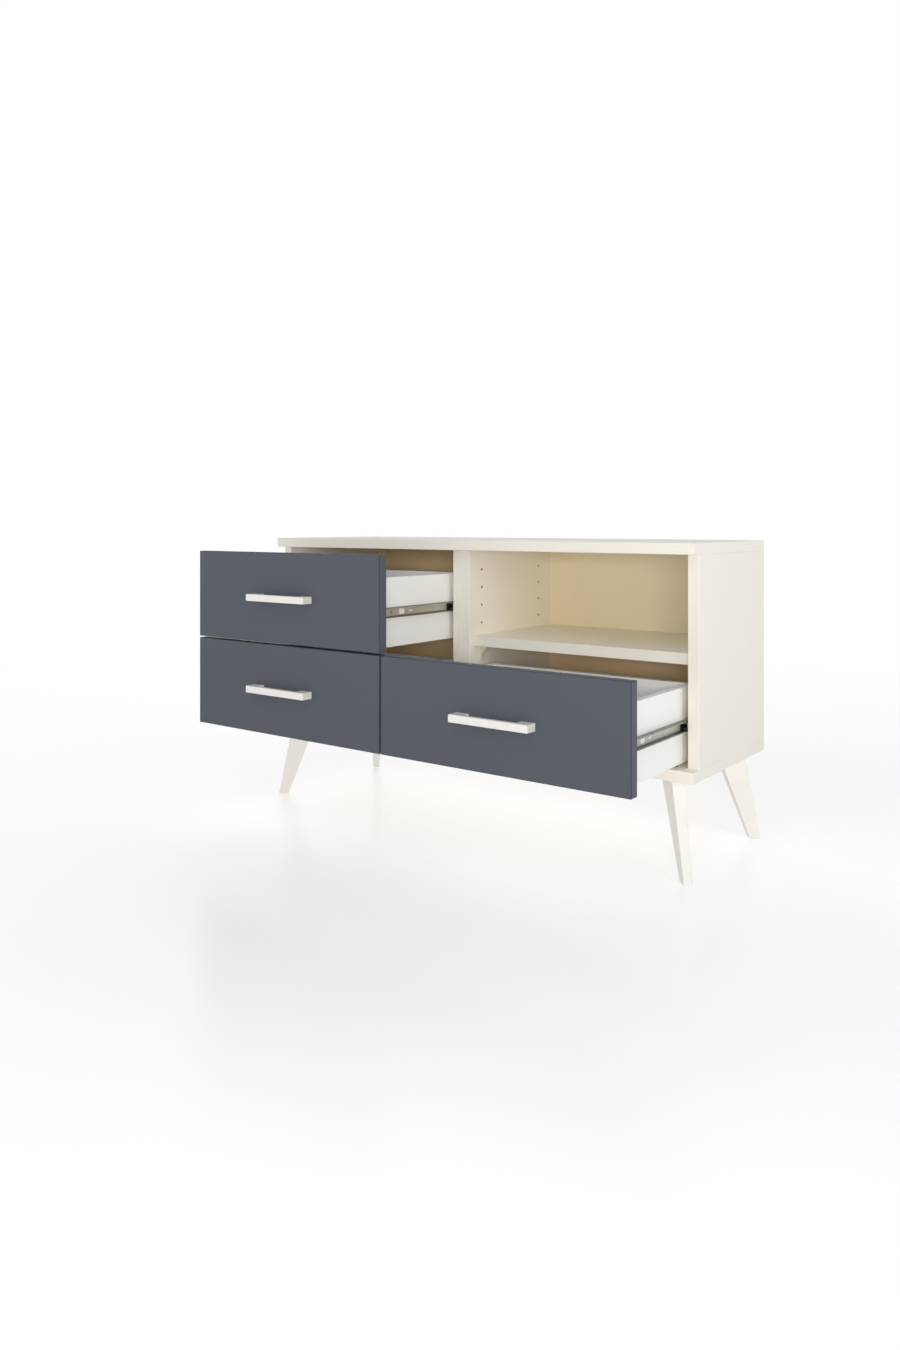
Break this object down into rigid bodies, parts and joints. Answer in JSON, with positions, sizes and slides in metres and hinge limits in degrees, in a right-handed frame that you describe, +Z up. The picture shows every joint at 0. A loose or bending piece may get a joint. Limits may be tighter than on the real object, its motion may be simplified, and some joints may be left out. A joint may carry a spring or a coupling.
{
  "type": "chest of drawers",
  "caption": "Low chest of drawers on four splayed tapered legs: flat-fronted drawers with bar handles on ball slides, beside an open compartment with a shelf.",
  "frame": {"origin": "on the floor, at the middle of the space that the object fills with its drawers pulled out", "axes": "+X to the right seen from the front, +Y from the front to the back, +Z up; the drawers open towards -Y"},
  "size_m": [0.9, 0.522, 0.519],
  "materials": {
    "cream_board": "melamine faced board, satin",
    "cream_hardboard": "painted hardboard, matt",
    "cream_lacquer": "lacquered wood, satin",
    "slate_board": "slate melamine faced board, smooth matt",
    "white_board": "white foil on board, satin",
    "white_hardboard": "white painted hardboard",
    "pale_handle_metal": "off-white lacquered zinc, semi-gloss",
    "zinc_plated_steel": "zinc plated, drawn",
    "polished_ball_steel": "polished",
    "black_plastic": "moulded, satin",
    "pale_plastic": "moulded, satin",
    "white_plastic": "moulded, matt",
    "beech_dowel": "plain beech",
    "fastener_steel": "zinc plated"
  },
  "bodies": {
    "carcass": {"back_panel": "cream_hardboard", "back_panel_nails": "fastener_steel", "bottom_panel": "cream_board", "case_cam_fittings": "fastener_steel", "case_screws": "fastener_steel", "divider_screws": "fastener_steel", "floor_glides": "white_plastic", "front_left_leg": "cream_lacquer", "front_right_leg": "cream_lacquer", "left_divider_panel": "cream_board", "left_side_panel": "cream_board", "leg_screws": "fastener_steel", "lower_left_drawer_runners": "zinc_plated_steel", "panel_dowels": "beech_dowel", "rear_left_leg": "cream_lacquer", "rear_right_leg": "cream_lacquer", "right_divider_panel": "cream_board", "right_drawer_runners": "zinc_plated_steel", "right_side_panel": "cream_board", "runner_screws": "fastener_steel", "shelf": "cream_board", "shelf_supports": "pale_plastic", "top_panel": "cream_board", "upper_left_drawer_runners": "zinc_plated_steel"},
    "upper_left_drawer": {"upper_left_drawer_back": "white_board", "upper_left_drawer_bottom": "white_hardboard", "upper_left_drawer_fittings": "fastener_steel", "upper_left_drawer_front": "slate_board", "upper_left_drawer_handle": "pale_handle_metal", "upper_left_drawer_handle_screws": "fastener_steel", "upper_left_drawer_left_side": "white_board", "upper_left_drawer_rail_screws": "fastener_steel", "upper_left_drawer_rails": "zinc_plated_steel", "upper_left_drawer_right_side": "white_board"},
    "upper_left_cages": {"upper_left_drawer_ball_cages": "black_plastic", "upper_left_drawer_balls": "polished_ball_steel"},
    "lower_left_drawer": {"lower_left_drawer_back": "white_board", "lower_left_drawer_bottom": "white_hardboard", "lower_left_drawer_fittings": "fastener_steel", "lower_left_drawer_front": "slate_board", "lower_left_drawer_handle": "pale_handle_metal", "lower_left_drawer_handle_screws": "fastener_steel", "lower_left_drawer_left_side": "white_board", "lower_left_drawer_rail_screws": "fastener_steel", "lower_left_drawer_rails": "zinc_plated_steel", "lower_left_drawer_right_side": "white_board"},
    "lower_left_cages": {"lower_left_drawer_ball_cages": "black_plastic", "lower_left_drawer_balls": "polished_ball_steel"},
    "right_drawer": {"right_drawer_back": "white_board", "right_drawer_bottom": "white_hardboard", "right_drawer_fittings": "fastener_steel", "right_drawer_front": "slate_board", "right_drawer_handle": "pale_handle_metal", "right_drawer_handle_screws": "fastener_steel", "right_drawer_left_side": "white_board", "right_drawer_rail_screws": "fastener_steel", "right_drawer_rails": "zinc_plated_steel", "right_drawer_right_side": "white_board"},
    "right_cages": {"right_drawer_ball_cages": "black_plastic", "right_drawer_balls": "polished_ball_steel"}
  },
  "joints": [
    {"name": "upper_left_slide", "type": "slide", "parent": "carcass", "child": "upper_left_drawer", "axis": [0, -1, 0], "range_m": [-0.2, 0]},
    {"name": "upper_left_cage_travel", "type": "slide", "parent": "carcass", "child": "upper_left_cages", "axis": [0, -1, 0], "range_m": [-0.1, 0]},
    {"name": "lower_left_slide", "type": "slide", "parent": "carcass", "child": "lower_left_drawer", "axis": [0, -1, 0], "range_m": [-0.2, 0]},
    {"name": "lower_left_cage_travel", "type": "slide", "parent": "carcass", "child": "lower_left_cages", "axis": [0, -1, 0], "range_m": [-0.1, 0]},
    {"name": "right_slide", "type": "slide", "parent": "carcass", "child": "right_drawer", "axis": [0, -1, 0], "range_m": [-0.2, 0]},
    {"name": "right_cage_travel", "type": "slide", "parent": "carcass", "child": "right_cages", "axis": [0, -1, 0], "range_m": [-0.1, 0]}
  ],
  "couplings": [
    {"joint": "upper_left_cage_travel", "follows": "upper_left_slide", "ratio": 0.5},
    {"joint": "lower_left_cage_travel", "follows": "lower_left_slide", "ratio": 0.5},
    {"joint": "right_cage_travel", "follows": "right_slide", "ratio": 0.5}
  ]
}
